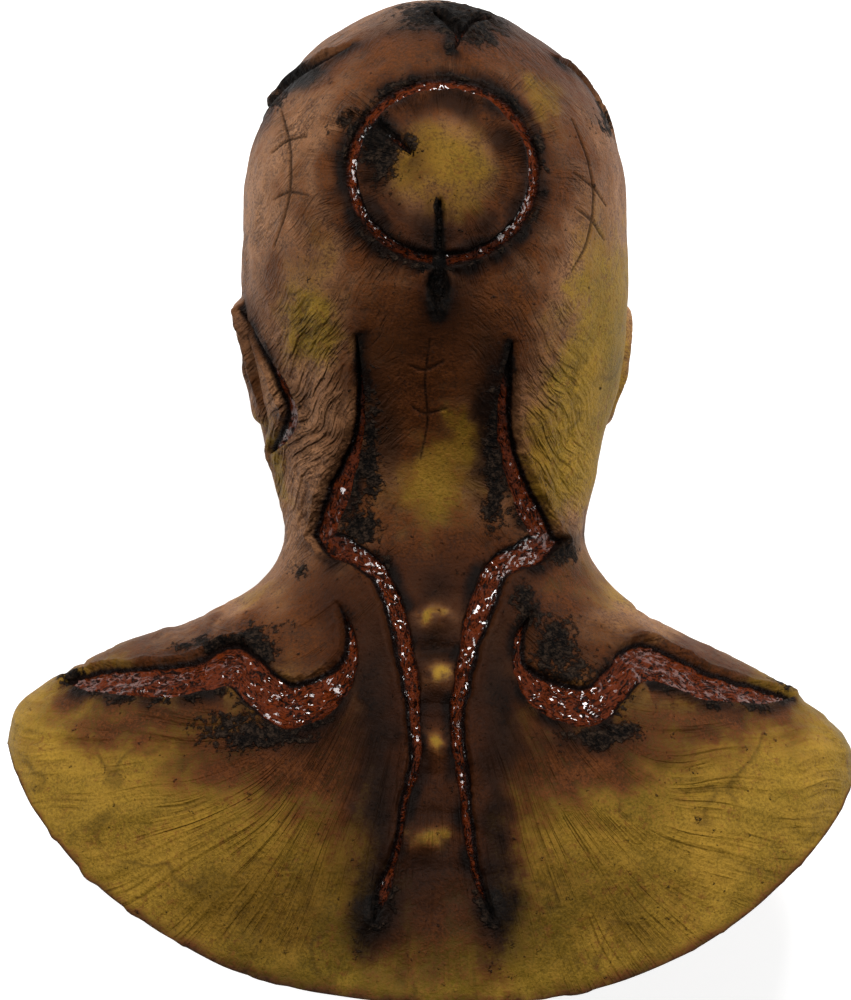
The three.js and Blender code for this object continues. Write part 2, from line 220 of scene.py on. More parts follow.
# Wounds: points of a centre line with the half width there
wounds = {
    "ring": {"centre": (3.5, 361), "radii": (39, 38), "half": 3.1, "evenAs": 2.4},
    "depth": 3.5, "wallWidth": 1.0, "lip": 0.9,
    "back": {
        "slit": [(2.2, 347, 1), (2.2, 330, 1.8), (1.5, 318, 2.6), (1, 312, 4.6), (1.5, 304, 1.2)],
        "nick": [(-36, 386, 0.6), (-28, 382, 1.8), (-18, 375.5, 2.2), (-9, 367, 1)],
        "crownLeft": [(0, 434, 1), (7, 427, 1.8), (10.5, 422, 1.8), (9, 415, 0.6)],
        "crownRight": [(24, 432.5, 0.8), (17, 430, 1.5), (11.5, 422, 1.4)],
        "temple": [(-75, 395, 1), (-61, 407, 1.9), (-45, 415, 1.5), (-36, 419, 0.5)],
        "neckLeft": [(-33, 292, 0.6), (-32, 265, 2.2), (-33, 250, 2.8), (-37, 238, 4), (-42, 225, 5.5),
                     (-49, 207, 5)],
        "spineLeft": [(-53, 207, 1.5), (-44, 203, 6), (-34, 199, 5.2), (-24, 190, 4.8), (-17, 175, 4.8),
                      (-12, 154, 4.7), (-9, 130, 3.8), (-8, 112, 3.4), (-13, 95, 2.2), (-16, 76, 2.2),
                      (-22, 58, 3.5), (-26, 45, 0.8)],
        "neckRight": [(33, 289, 0.6), (30.5, 265, 3.4), (31, 250, 4), (35, 235, 4.4), (41, 220, 5.5),
                      (49, 206, 5)],
        "spineRight": [(56, 205, 1.2), (46, 202, 6.5), (36, 198, 6), (27, 192, 6), (21, 178, 6.8),
                       (16, 163, 5.2), (12, 145, 4.4), (10, 128, 3.8), (12, 108, 3.4), (14, 90, 3),
                       (17, 68, 2.6), (25, 46, 0.8)],
        "shoulderLeft": [(-163, 143, 0.8), (-146, 144, 5.5), (-118, 145, 7.4), (-100, 148, 7.4),
                         (-86, 152, 9.2), (-75, 143, 9.4), (-64, 136, 10), (-52, 138, 9), (-41, 146, 6.6),
                         (-36, 156, 4), (-37, 168, 2.4), (-41, 177, 0.6)],
        "shoulderRight": [(158, 136, 0.6), (143, 138, 4.2), (118, 143, 6.4), (100, 151, 7), (88, 153, 8.6),
                          (78, 144, 8), (68, 136, 9), (57, 136, 8.6), (45, 142, 7), (37, 152, 4),
                          (37, 164, 2.6), (41, 173, 0.6)],
    },
    # over the sides of the head, in z and y
    "leftSide": {"ear": [(19, 306, 0.8), (32, 296, 2.6), (41, 283, 3.4), (45, 270, 3.8), (42, 258, 3.4),
                         (30, 249, 3), (12, 243, 1)]},
    "rightSide": {"temple": [(33, 414, 0.8), (21, 411, 2.2), (12, 401, 2.4), (5, 388, 2.4), (-3, 374, 2.2),
                             (-15, 362, 0.8)]},
}
# Plain incised strokes, points of a line in x and y with the half width there
strokes = {
    "leftStem": [(-66, 391, 0.3), (-62.5, 375, 0.5), (-62, 358, 0.55), (-64.5, 343, 0.5), (-69, 331, 0.3)],
    "leftBarHigh": [(-71, 373, 0.3), (-63, 377, 0.5), (-55, 378, 0.3)],
    "leftBarLow": [(-70, 352, 0.3), (-62.5, 354, 0.5), (-54, 352, 0.3)],
    "rightStem": [(59, 386, 0.3), (66, 368, 0.5), (68.5, 350, 0.55), (65, 331, 0.45), (58, 320, 0.3)],
    "rightTickHigh": [(59, 362, 0.3), (68, 357, 0.5), (75, 350, 0.3)],
    "rightTickLow": [(60, 347, 0.3), (68, 342, 0.5), (74, 335, 0.3)],
    "napeStem": [(-2, 290, 0.25), (-4, 272, 0.4), (-3, 256, 0.4), (-6, 240, 0.25)],
    "napeTickHigh": [(-11, 279, 0.25), (-4, 277, 0.4), (4, 281, 0.25)],
    "napeTickLow": [(-10, 262, 0.25), (-4, 259, 0.4), (5, 261, 0.25)],
}
strokeDepth = 0.8
# A cut's edge: height and size of its unevenness, the half width from which it is full, and its least share
ragged = {"coarse": (0.9, 9), "fine": (0.45, 2.6), "fullAt": 4, "least": 0.12}
# Where the course along the cuts starts, so that no two patterns meet
courseFrom = {"next": 20, "ring": 500, "ringLeft": 200, "sides": 900}
strandStretch = 0.42  # draws the strands of flesh out along the course


def centreLine(path, perSpan=5):
    p = np.array(path, float)
    p = np.vstack([2 * p[0] - p[1], p, 2 * p[-1] - p[-2]])
    f = np.linspace(0, 1, perSpan, endpoint=False)[:, None]
    return np.vstack([*(curved(a, b, c, d, f) for a, b, c, d in zip(p, p[1:], p[2:], p[3:])), p[-2]])


class Channels:
    # How deep inside a set of cuts a point lies, in mm over the surface: negative outside
    thinnest = 0.25

    def __init__(self, paths, uneven):
        self.lines = [centreLine(path) for path in paths]
        self.uneven = uneven

    def nearest(self, flat, reach):
        # the course is the distance across a channel and the length along it
        best = np.full(len(flat), farOff)
        away = np.zeros((len(flat), 2))
        size = np.ones(len(flat))
        course = np.zeros((len(flat), 2))
        run = 0
        for line in self.lines:
            low, high = line[:, :2].min(0) - reach, line[:, :2].max(0) + reach
            near = np.flatnonzero(((flat > low) & (flat < high)).all(1))
            for a, b in zip(line, line[1:]):
                ab = b[:2] - a[:2]
                length = math.hypot(*ab)
                gap = flat[near] - a[:2]
                across = (gap[:, 0] * ab[1] - gap[:, 1] * ab[0]) / length
                f = np.clip(gap @ ab / length ** 2, 0, 1)
                gap = gap - f[:, None] * ab
                width = np.maximum(mix(a[2], b[2], f), self.thinnest)
                value = width - np.linalg.norm(gap, axis=1)
                better = value > best[near]
                chosen = near[better]
                best[chosen], away[chosen], size[chosen] = value[better], gap[better], width[better]
                course[chosen] = np.stack([across[better], run + f[better] * length], -1)
                run += length
            run += courseFrom["next"]
        return best, unit(away), size, course

    def inside(self, plane, normal, points, reach):
        # plane holds the two directions in which the cuts are drawn
        best, away, size, course = self.nearest(points @ plane.T, reach)
        return overSurface(best, away, size, plane, normal, points, self.uneven), away, course


def overSurface(value, away, size, plane, normal, points, uneven):
    # from the flat drawing to the slanting skin, with an uneven edge
    slope = np.einsum("ij,jk,ik->i", away, plane, normal)
    value = value / np.sqrt(np.clip(1 - slope ** 2, ragged["least"], 1))
    (much, coarseSize), (little, fineSize) = ragged["coarse"], ragged["fine"]
    edge = much * middle.noise(points, coarseSize) + little * fine.noise(points, fineSize)
    share = np.clip(size / ragged["fullAt"], ragged["least"], 1)
    return value + uneven * edge * share * np.clip(1.6 + value / 30, 0, 1)


backPlane = np.array([(1, 0, 0), (0, 1, 0)], float)
sidePlane = np.array([(0, 0, 1), (0, 1, 0)], float)
backCuts = Channels(wounds["back"].values(), 1)
leftCuts = Channels(wounds["leftSide"].values(), 0.8)
rightCuts = Channels(wounds["rightSide"].values(), 0.8)
strokeCuts = Channels(strokes.values(), 0.25)


def ringField(points, normal):
    ring = wounds["ring"]
    gap = (points[:, :2] - ring["centre"]) / ring["radii"]
    far = np.linalg.norm(gap, axis=1)
    across = (far - 1) * np.mean(ring["radii"])
    away, size = unit(gap * np.sign(across)[:, None]), np.full(len(far), ring["evenAs"])
    value = overSurface(ring["half"] - np.abs(across), away, size, backPlane, normal, points, 1)
    along = np.arctan2(np.abs(gap[:, 0]), gap[:, 1]) * ring["radii"][1] + (gap[:, 0] < 0) * courseFrom["ringLeft"]
    return value, smooth(0.5 - across / 4), np.stack([across, courseFrom["ring"] + along], -1)


def woundField(points, normal, facing, reach=14):
    # depth inside the wounds, how near the side with the raised flap is, and the course along them
    value, away, course = backCuts.inside(backPlane, normal, points, reach)
    outwardUp = away[:, 0] * np.sign(points[:, 0]) * 0.75 + away[:, 1] * 0.65
    under = smooth(0.5 + 1.1 * outwardUp)
    ringValue, ringUnder, ringCourse = ringField(points, normal)
    isRing = ringValue > value
    value, under = np.where(isRing, ringValue, value), np.where(isRing, ringUnder, under)
    course = np.where(isRing[:, None], ringCourse, course)
    value = np.where(facing > -0.05, value, farOff)
    for sign, cuts in ((-1, leftCuts), (1, rightCuts)):
        sideValue, away, sideCourse = cuts.inside(sidePlane, normal, points, reach)
        better = (normal[:, 0] * sign > 0.45) & (sideValue > value)
        value, under = np.where(better, sideValue, value), np.where(better, smooth(0.5 - away[:, 0]), under)
        course = np.where(better[:, None], sideCourse + courseFrom["sides"], course)
    return value, under, course


def woundInside(points, normal, facing):
    return woundField(points, normal, facing)[0]


def strokeInside(points, normal, facing, reach=6):
    return np.where(facing > 0, strokeCuts.inside(backPlane, normal, points, reach)[0], farOff)


# Openings of the face, lens shaped: centre, width and height
openings = {"leftEye": (-32, 322, 30, 11), "rightEye": (32, 322, 30, 11), "mouth": (0, 251, 42, 2.8)}


def lensInside(points, facing, name):
    cx, cy, width, height = openings[name]
    u = (points[:, 0] - cx) / (width / 2)
    value = height / 2 * (1 - u ** 2) - np.abs(points[:, 1] - cy)
    return np.where((facing < -0.3) & (np.abs(u) <= 1.6), value, farOff)


# A sheet of triangles over the skin, refined to the wanted size and cut along a line
def edgesOf(faces):
    pairs = np.sort(faces[:, [[0, 1], [1, 2], [2, 0]]].reshape(-1, 2), axis=1)
    keys, index = np.unique(pairs[:, 0] * manyPoints + pairs[:, 1], return_inverse=True)
    return np.stack([keys // manyPoints, keys % manyPoints], -1), index.reshape(-1, 3)


def between(places, a, b, f):
    p = mix(places[a], places[b], np.asarray(f)[..., None])
    p[:, :2] = unit(p[:, :2])
    return p


def stitched(a, b, keyA, keyB):
    # triangles between two rows whose keys run the same way
    faces, i, j = [], 0, 0
    while i < len(a) - 1 or j < len(b) - 1:
        if j == len(b) - 1 or (i < len(a) - 1 and keyA[i + 1] + keyA[i] < keyB[j + 1] + keyB[j]):
            faces.append((a[i], b[j], a[i + 1]))
            i += 1
        else:
            faces.append((a[i], b[j], b[j + 1]))
            j += 1
    return faces


def coarseSheet(columns, domeRings, perSection):
    places, rows, keys, faces = [(0, 0, -1.0)], [[0]], [[0.0]], []
    levels = [(-1 + (k + 1) / domeRings, max(6, round(columns * (k + 1) / domeRings))) for k in range(domeRings)]
    levels += [((k + 1) / perSection, columns) for k in range(hem * perSection)]
    for level, count in levels:
        angles = np.arange(count) / count * 2 * math.pi
        first = len(places)
        places += [(math.sin(a), math.cos(a), level) for a in angles]
        rows.append([*range(first, first + count), first])
        keys.append([*angles, 2 * math.pi])
    ring = rows[1]
    faces += [(0, ring[k], ring[k + 1]) for k in range(len(ring) - 1)]
    for upper, lower, upperKeys, lowerKeys in zip(rows[1:], rows[2:], keys[1:], keys[2:]):
        faces += stitched(upper, lower, upperKeys, lowerKeys)
    return np.array(places, float), np.array(faces)


def refined(places, faces, pointAt, sizeAt, passes=14):
    points = pointAt(places)
    size = sizeAt(places, points)
    for _ in range(passes):
        edges, edgeOf = edgesOf(faces)
        length = np.linalg.norm(points[edges[:, 0]] - points[edges[:, 1]], axis=1)
        marked = length > size[edges].mean(1)
        if not marked.any():
            break
        turn = np.argmax(length[edgeOf], axis=1)
        order = (turn[:, None] + np.arange(3)) % 3
        rows = np.arange(len(faces))[:, None]
        faces, edgeOf = faces[rows, order], edgeOf[rows, order]
        while True:
            missing = marked[edgeOf].any(1) & ~marked[edgeOf[:, 0]]
            if not missing.any():
                break
            marked[edgeOf[missing, 0]] = True
        number = np.full(len(edges), -1)
        number[marked] = len(places) + np.arange(marked.sum())
        added = between(places, edges[marked, 0], edges[marked, 1], 0.5)
        v0, v1, v2 = faces.T
        m0, m1, m2 = number[edgeOf].T
        has0, has1, has2 = m0 >= 0, m1 >= 0, m2 >= 0
        parts = [(~has0, (v0, v1, v2)),
                 (has0 & ~has2, (v0, m0, v2)), (has0 & has2, (v0, m0, m2)), (has0 & has2, (m2, m0, v2)),
                 (has0 & ~has1, (m0, v1, v2)), (has0 & has1, (m0, v1, m1)), (has0 & has1, (m0, m1, v2))]
        faces = np.vstack([np.stack(corners, -1)[keep] for keep, corners in parts])
        places = np.vstack([places, added])
        newPoints = pointAt(added)
        points = np.vstack([points, newPoints])
        size = np.concatenate([size, sizeAt(added, newPoints)])
    return places, faces


def cutAlong(places, faces, valueAt, snap=0.3):
    # puts edges along the line where the value is nought: a point near the line moves onto it
    values = valueAt(places)
    a, b = edgesOf(faces)[0].T
    cross = values[a] * values[b] < 0
    a, b = a[cross], b[cross]
    f = values[a] / (values[a] - values[b])
    onLine = between(places, a, b, f)
    nearA, nearB = f < snap, f > 1 - snap
    near, share = np.concatenate([a[nearA], b[nearB]]), np.concatenate([f[nearA], 1 - f[nearB]])
    moved = np.vstack([onLine[nearA], onLine[nearB]])
    order = np.argsort(share, kind="stable")[::-1]
    places = places.copy()
    places[near[order]] = moved[order]
    values[near] = 0
    edges, edgeOf = edgesOf(faces)
    cross = values[edges[:, 0]] * values[edges[:, 1]] < 0
    ca, cb = edges[cross].T
    added = between(places, ca, cb, values[ca] / (values[ca] - values[cb]))
    number = np.full(len(edges), -1)
    number[cross] = len(places) + np.arange(cross.sum())
    hit = number[edgeOf] >= 0
    count = hit.sum(1)
    out = [faces[count == 0]]
    rows = np.arange(len(faces))[:, None]
    # one edge hit: turned so that it comes first; two hit: so that the one not hit comes first
    turn = np.where(count == 1, np.argmax(hit, 1), np.argmin(hit, 1))
    order = (turn[:, None] + np.arange(3)) % 3
    v0, v1, v2 = faces[rows, order].T
    m0, m1, m2 = number[edgeOf][rows, order].T
    one, two = count == 1, count == 2
    out += [np.stack(c, -1)[one] for c in ((v0, m0, v2), (m0, v1, v2))]
    out += [np.stack(c, -1)[two] for c in ((m1, v2, m2), (v0, v1, m1), (v0, m1, m2))]
    values = np.concatenate([values, np.zeros(len(added))])
    return np.vstack([places, added]), np.vstack(out), values


def lensRemoved(places, faces, pointAt):
    for name in openings:
        places, faces, values = cutAlong(places, faces, lambda q: lensInside(pointAt(q), q[:, 1], name))
        faces = faces[~(values[faces].max(1) > 0)]
    used, index = np.unique(faces, return_inverse=True)
    return places[used], index.reshape(-1, 3)


# Wanted triangle sizes in mm, and near a feature the size on it, how far that holds and the growth from there
fineness = {"back": 3.8, "front": 8, "face": 3.4, "wound": (1.7, 9), "woundHolds": 2, "woundSpan": 24, "inside": 12.5,
            "insideHem": 4.5}
graded = {"opening": (1.4, 2, 0.2), "stroke": (1.4, 0.6, 0.45), "knob": (2.4, 9, 0.2), "fold": (2.65, -0.5, 9),
          "ear": (1.4, 0.98, 12), "openingInside": (1.8, 2, 0.3)}
knobs = [(1, 171), (1, 147), (0.5, 118), (-4, 79)]
ears = {"left": (-81.5, 284, 12), "right": (81.5, 284, -12)}


def sizeNear(name, away):
    size, holds, growth = graded[name]
    return size + np.maximum(away - holds, 0) * growth


def openingGap(points, facing):
    return np.maximum.reduce([lensInside(points, facing, name) for name in openings])


def outerPoint(places):
    return shaped(places, faceForms + faceDetail + frontForms)


def earNear(points):
    far = [np.hypot((points[:, 1] - y) / 32, (points[:, 2] - z) / 19) + 9 * (points[:, 0] * x < 0)
           for x, y, z in ears.values()]
    return np.minimum(*far)


def looseness(points, facing):
    # where the skin of the neck lies in heavy folds, beside the neck wounds
    x, y = np.abs(points[:, 0]), points[:, 1]
    share = rising(y, 325, -60) * rising(y, 195, 25) * rising(x, 33, 12) * smooth(facing * 5) * rising(x, 76, -8)
    return share * np.where(points[:, 0] < 0, 1, 0.55 * rising(x, 75, -20))


def outerSize(places, points):
    facing, level = places[:, 1], places[:, 2]
    normal = outwards(places)
    isFace = (facing < -0.35) & (level < 6.5) & (level > -0.5)
    size = mix(fineness["front"], fineness["back"], smooth(facing * 4 + 1))
    size = np.where(isFace, fineness["face"], size)
    away = -woundInside(points, normal, facing) - fineness["woundHolds"]
    wound = mix(*fineness["wound"], np.clip(away / fineness["woundSpan"], 0, 1))
    near = [sizeNear("opening", -openingGap(points, facing)), sizeNear("fold", -looseness(points, facing)),
            sizeNear("stroke", -strokeInside(points, normal, facing)), sizeNear("ear", earNear(points))]
    near += [sizeNear("knob", np.hypot(points[:, 0] - x, points[:, 1] - y) + 99 * (facing < 0)) for x, y in knobs]
    return np.minimum.reduce([size, wound, *near])


def innerPoint(places):
    full = mix(wall["face"], wall["back"], smooth(0.5 + places[:, 1]))
    thick = mix(full, wall["hem"], smooth(1 - (hem - places[:, 2]) / wall["hemTaper"]))
    p = shaped(places, faceForms + frontForms) - outwards(places) * thick[:, None]
    return lifted(p, thick)


def lifted(points, clear):
    # kept the given distance above the table
    up = np.array([0, math.sin(lay["pitch"]), math.cos(lay["pitch"])])
    short = np.maximum(lay["table"] + clear - points @ up, 0)
    return points + short[:, None] * up


def innerSize(places, points):
    size = np.where(places[:, 2] > hem - 0.8, fineness["insideHem"], fineness["inside"])
    return np.minimum(size, sizeNear("openingInside", -openingGap(points, places[:, 1])))


# Relief of the outside: where its three sets of folds run, and the depth, size and thinness of their furrows
folds = {"fanCentreY": 105, "fanLift": 85, "fanTop": 190, "ringFar": 38.5, "ringReach": 15, "slant": (0.74, 0.67),
         "sideFrom": 172}
furrows = {"fan": (1.5, 11, 3.4), "fanFine": (0.4, 6, 3.4), "ring": (0.9, 4.5, 3.4), "side": (1.5, 9, 2.6),
           "sideFine": (0.5, 5.5, 2.6)}


def radial(x, y, around, outward):
    # coordinates drawn out along lines from a centre, and how far from it
    far = np.hypot(x, y) + 1e-6
    return np.stack([x / far * around, y / far * around, far * outward], -1), far


def foldFlows(points, facing):
    # coordinates drawn out along the folds, and how strong each set is there
    x, y, z = points.T
    sway = 5 * broad.noise(points + 60, 40)
    fanFlow, _ = radial(x, folds["fanCentreY"] + folds["fanLift"] * bell(x, 0, 55) - y + sway, 120, 0.07)
    fan = rising(y, folds["fanTop"], -26) * rising(np.hypot(x, y - 150), 22, 30)
    ringX, ringY = wounds["ring"]["centre"]
    ringFlow, ringFar = radial(x - ringX, y - ringY, 40, 0.12)
    ring = bell(ringFar, folds["ringFar"], folds["ringReach"]) * smooth(facing * 4)
    outX = np.sqrt(x * x + 9)
    bend = 6 * broad.noise(points, 40) + 1.6 * middle.noise(points, 15)
    across = folds["slant"][0] * outX + folds["slant"][1] * y - 0.12 * z + bend
    along = folds["slant"][1] * outX - folds["slant"][0] * y
    sideFlow = np.stack([across, along * 0.2 + 90 * np.sign(x), z * 0.2], -1)
    # the right of the head is calmer than the left
    calm = np.where(x < 0, 1, 0.85 - 0.7 * smooth((x - 54 - 0.2 * np.clip(y - 310, 0, 60)) / 9))
    side = rising(y, folds["sideFrom"], 30) * (1 - 0.8 * ring) * rising(np.abs(x), 6, 20) * calm
    return (fanFlow, ringFlow, sideFlow), (fan, ring, side)


def creases(name, flow, sharp=1.2):
    # 0 on the skin, and the depth along the furrow
    deep, size, thin = furrows[name]
    return deep * np.clip(1 - np.abs(middle.noise(flow, size, 2)) * thin, 0, 1) ** sharp


# A cropped ear pressed flat, in u to the back of the head and v up it: its half sizes, its slant, and the
# flap in front and the lobe, as the soft forms are
earShape = {"half": (15, 28), "slant": 0.18, "taper": 0.22, "plate": 1.6, "rim": 1.7, "innerFold": 1.2,
            "groove": 1.7, "bowl": 3.6, "around": 1.3}
earForms = [(-0.52, -0.12, 0.16, 0.17, 1.5), (-0.1, -0.78, 0.36, 0.22, 1.0)]


def earRelief(points, side):
    # how far the ear rises, and how deep its hollows are
    ex, ey, ez = ears[side]
    u = (points[:, 2] - ez) / earShape["half"][0]
    v = (points[:, 1] - ey) / earShape["half"][1]
    lean = u + earShape["slant"] * v
    r = np.hypot(lean * (1 - earShape["taper"] * v), v)
    behind, upper = rising(lean, -0.45, 0.5), rising(v, -0.7, 0.5)
    rise = earShape["plate"] * rising(r, 1.04, -0.16) + bumps(earForms, lean, v)
    rise += earShape["rim"] * bell(r, 0.86, 0.11) * np.maximum(behind, upper * rising(v, 0.1, 0.4)) * upper
    rise += earShape["innerFold"] * bell(r, 0.5, 0.1) * behind * rising(v, -0.5, 0.4)
    hollow = earShape["groove"] * bell(r, 0.68, 0.09) * np.maximum(behind, rising(v, 0.3, 0.3)) * upper
    hollow += bumps([(-0.1, -0.14, 0.3, 0.32, earShape["bowl"])], lean, v)
    hollow += earShape["around"] * bell(r, 1.1, 0.07) * behind
    onSide = (points[:, 0] * ex > 0) & (np.abs(points[:, 2] - ez) < 40)
    return np.where(onSide, rise - hollow, 0), np.where(onSide, hollow, 0)


# Flaps that stand up beside the neck wounds and hollows between them, and where the lips are higher
flaps = [*both((-46, 255, 9, 34, 1.8)), (0, 262, 24, 34, -1.2), (-62, 172, 26, 8, 1.4), (64, 170, 26, 8, 1.4),
         (-68, 120, 34, 7, 1.0), (72, 117, 34, 7, 1.0), (3.5, 361, 22, 22, 1.2)]
lipBoost = [(-46, 252, 12, 44, 1.6), (47, 250, 12, 44, 1.2), (-100, 167, 60, 10, 1.4), (100, 165, 60, 10, 1.4)]
# Heights of the relief in mm
heights = {"swell": 1.1, "dimple": 0.45, "loose": 0.8, "curl": 1.5, "lip": 0.35, "flapLip": 1.8, "crumb": 1.9,
           "grit": 0.9, "strand": 1.3, "thinStrand": 0.5, "lump": 0.5, "bead": 0.3, "strokeRim": 0.2, "knob": 3.4,
           "knobGap": 1.1, "nostril": 3.4}


def fleshRelief(points, course):
    # strands that run along the wounds, and lumps
    strands = np.stack([course[:, 0] + 0.8 * fine.noise(points, 5), course[:, 1] * strandStretch, points[:, 2] * 0.3], -1)
    rise = heights["lump"] * middle.noise(points, 6) + heights["bead"] * fine.noise(points, 2)
    for lattice, size, name in ((middle, 3.4, "strand"), (fine, 1.8, "thinStrand")):
        first, second = lattice.cells(strands, size)
        rise += heights[name] * np.clip(second - first, 0, 0.7)
    return rise


def relief(places, points, inside, under, course, stroke, paint):
    facing = places[:, 1]
    x, y = points[:, 0], points[:, 1]
    skinOnly = smooth(-inside / 2.5)
    outside = np.clip(-inside, 0, None)
    (fanFlow, ringFlow, sideFlow), (fan, ring, side) = foldFlows(points, facing)
    patchy = smooth(0.5 + 1.5 * broad.noise(points, 30))
    varied = smooth(0.7 + 1.2 * middle.noise(points + 31, 20))
    loose, boost = looseness(points, facing), bumps(lipBoost, x, y)
    furrow = fan * (creases("fan", fanFlow) * patchy + creases("fanFine", fanFlow + 40) * varied)
    furrow += ring * creases("ring", ringFlow)
    furrow += side * mix(0.28 * varied, 1, loose) * (creases("side", sideFlow) * varied
                                                     + creases("sideFine", sideFlow + 30))
    rise = heights["swell"] * broad.noise(points, 34) * smooth(facing * 3 + 0.5)
    rise += heights["dimple"] * middle.noise(points, 12, 2) + heights["loose"] * loose - furrow
    rise += bumps(flaps, x, y) * smooth(facing * 3)
    # the skin curls up towards a wound on its flap side
    rise += (heights["curl"] + 1.2 * boost) * under * np.exp(-outside / 7) * (inside <= 0)
    gap, nextGap = fine.cells(points, 3.0)
    crumbs = heights["crumb"] * np.clip(nextGap - gap, 0, 0.6) + heights["grit"] * fine.noise(points, 2.2, 2) - 0.3
    rise += paint["char"] * crumbs
    rise *= mix(0.3, 1, skinOnly)
    ripple = np.clip(0.55 + 0.75 * broad.noise(points, 13), 0.1, 1.2)
    proud = ripple * (heights["lip"] + heights["flapLip"] * under + under * boost)
    rise += wounds["lip"] * bell(outside, 1.3, 1.5) * proud * (inside <= 0)
    rise += 0.3 * (inside > 0)
    # wall and floor of the wounds
    drop = np.clip(inside / wounds["wallWidth"], 0, 1)
    rise += drop * (0.2 - wounds["depth"]) + rising(inside, 0.9, 1.6) * fleshRelief(points, course)
    rise += heights["strokeRim"] * bell(stroke, -1.2, 0.7) - strokeDepth * rising(stroke, -0.35, 0.8)
    for kx, ky in knobs:
        r2 = ((x - kx) / 6.4) ** 2 + ((y - ky) / 6.6) ** 2
        beside = bell(np.abs(y - ky), 11.5, 2.4) * bell(x, 0, 10)
        rise += (heights["knob"] * np.exp(-r2 * 1.2) - heights["knobGap"] * beside) * (facing > 0)
    nostrils = both((7, 275.5, 2.7, 3.2, heights["nostril"]))
    rise -= bumps(nostrils, x, y) * (facing < 0)
    earRises, hollows = zip(*(earRelief(points, name) for name in ears))
    # the second value, the depth of the creases and the ear's hollows, is darkened in the material as painted shade
    return rise + sum(earRises), furrow * skinOnly * (1 - 0.6 * fan) + 0.8 * sum(hollows)


# Airbrushed paint: soft spots over the back as place, half sizes and strength, in mm
paintSpots = {
    "olive": [(4, 362, 27, 22, 0.8), (48, 393, 9, 17, 0.7), (77, 286, 19, 52, 1), (62, 256, 17, 30, 1),
              (50, 234, 12, 20, 0.7), (-50, 297, 14, 17, 0.85), (-70, 240, 8, 26, 0.7), (0, 228, 20, 22, 0.95),
              (9, 252, 7, 12, 0.8), (2, 296, 14, 8, 0.4), (-30, 222, 8, 10, 0.4), (-50, 330, 10, 14, 0.4),
              (-120, 85, 95, 62, 1), (120, 85, 95, 62, 1), (-165, 120, 40, 34, 0.9), (165, 120, 40, 34, 0.9),
              (0, 14, 120, 30, 0.9), (60, 80, 40, 45, 1), (-62, 76, 40, 42, 0.9), (82, 184, 24, 9, 0.5),
              (60, 190, 8, 8, 0.6), (-80, 182, 14, 6, 0.4)],
    "brown": [(-80, 270, 9, 34, 0.8), (-22, 408, 40, 24, 0.6), (30, 420, 46, 20, 0.95), (-45, 340, 14, 22, 0.5),
              (46, 356, 14, 34, 0.75), (4, 300, 60, 22, 0.75), (-6, 262, 34, 44, 0.95), (0, 205, 38, 24, 0.9),
              (-100, 158, 66, 12, 0.9), (105, 152, 66, 12, 0.9), (-48, 178, 28, 24, 0.9), (48, 180, 28, 22, 0.9),
              (0, 78, 32, 50, 0.95), (0, 28, 46, 15, 0.3), (3.5, 361, 40, 38, 0.3), (50, 392, 18, 26, 0.45),
              (66, 366, 14, 30, 0.5), (-60, 356, 9, 22, 0.4), (-36, 398, 26, 10, 0.25), (-70, 322, 9, 14, 0.5),
              (72, 330, 7, 20, 0.4), (-62, 112, 52, 20, 0.9), (66, 112, 48, 18, 0.9), (120, 128, 44, 9, 0.8),
              (-125, 128, 50, 11, 0.9), (0, 120, 40, 60, 0.9), (-66, 318, 10, 12, 0.4), (36, 305, 14, 16, 0.6)],
    "dark": [(-44, 268, 5, 26, 0.4), (-52, 372, 8, 16, 0.3), (-34, 340, 12, 7, 0.35), (40, 344, 12, 7, 0.3),
             (8, 430, 40, 12, 0.9), (-23, 366, 9, 17, 0.9), (2, 336, 15, 11, 0.8), (4, 309, 15, 16, 0.7),
             (-27, 264, 8, 30, 0.6), (26, 258, 10, 36, 0.95), (20, 246, 7, 13, 0.6), (-2, 288, 24, 14, 0.4),
             (-14, 262, 10, 22, 0.25), (-82, 262, 5, 18, 0.8), (0, 190, 26, 9, 0.3), (0, 160, 13, 40, 0.85),
             (-3, 76, 15, 34, 0.7), (-44, 180, 11, 20, 0.5), (42, 182, 11, 20, 0.5), (-26, 138, 13, 46, 0.8),
             (27, 138, 13, 46, 0.8), (-62, 122, 26, 8, 0.75), (66, 120, 26, 7, 0.75), *both((27, 48, 12, 20, 0.95)),
             (-25, 92, 8, 28, 0.75), (24, 84, 7, 28, 0.75), (60, 205, 10, 7, 0.8), (-100, 136, 32, 5, 0.6),
             (104, 135, 34, 4, 0.5), (60, 156, 12, 12, 0.5), (22, 246, 7, 24, 0.8), (-20, 244, 6, 20, 0.6),
             (-80, 300, 8, 24, 0.5)],
    "char": [(6, 434, 20, 8, 1), (20, 424, 10, 5, 0.7), (-74, 397, 7, 7, 0.8), (76, 392, 6, 10, 0.8),
             (-162, 146, 5, 3, 1), (-98, 160, 14, 3, 0.9), (-76, 158, 8, 6, 1), (-64, 168, 6, 3, 0.4),
             (55, 200, 8, 5, 0.85), (41, 179, 6, 10, 0.7), (50, 160, 8, 11, 0.85), (62, 148, 8, 6, 0.6),
             (158, 141, 7, 3, 0.9), (-28, 241, 3.5, 24, 1), (-33, 212, 7, 6, 0.9), (-20, 192, 3, 8, 0.6),
             (26, 234, 4, 26, 1), (-76, 123, 22, 5.5, 0.95), (72, 123, 16, 5, 0.8), (-58, 190, 4, 3, 0.7),
             (-30, 379, 9, 8, 0.9), (-22, 366, 8, 10, 0.8)],
}
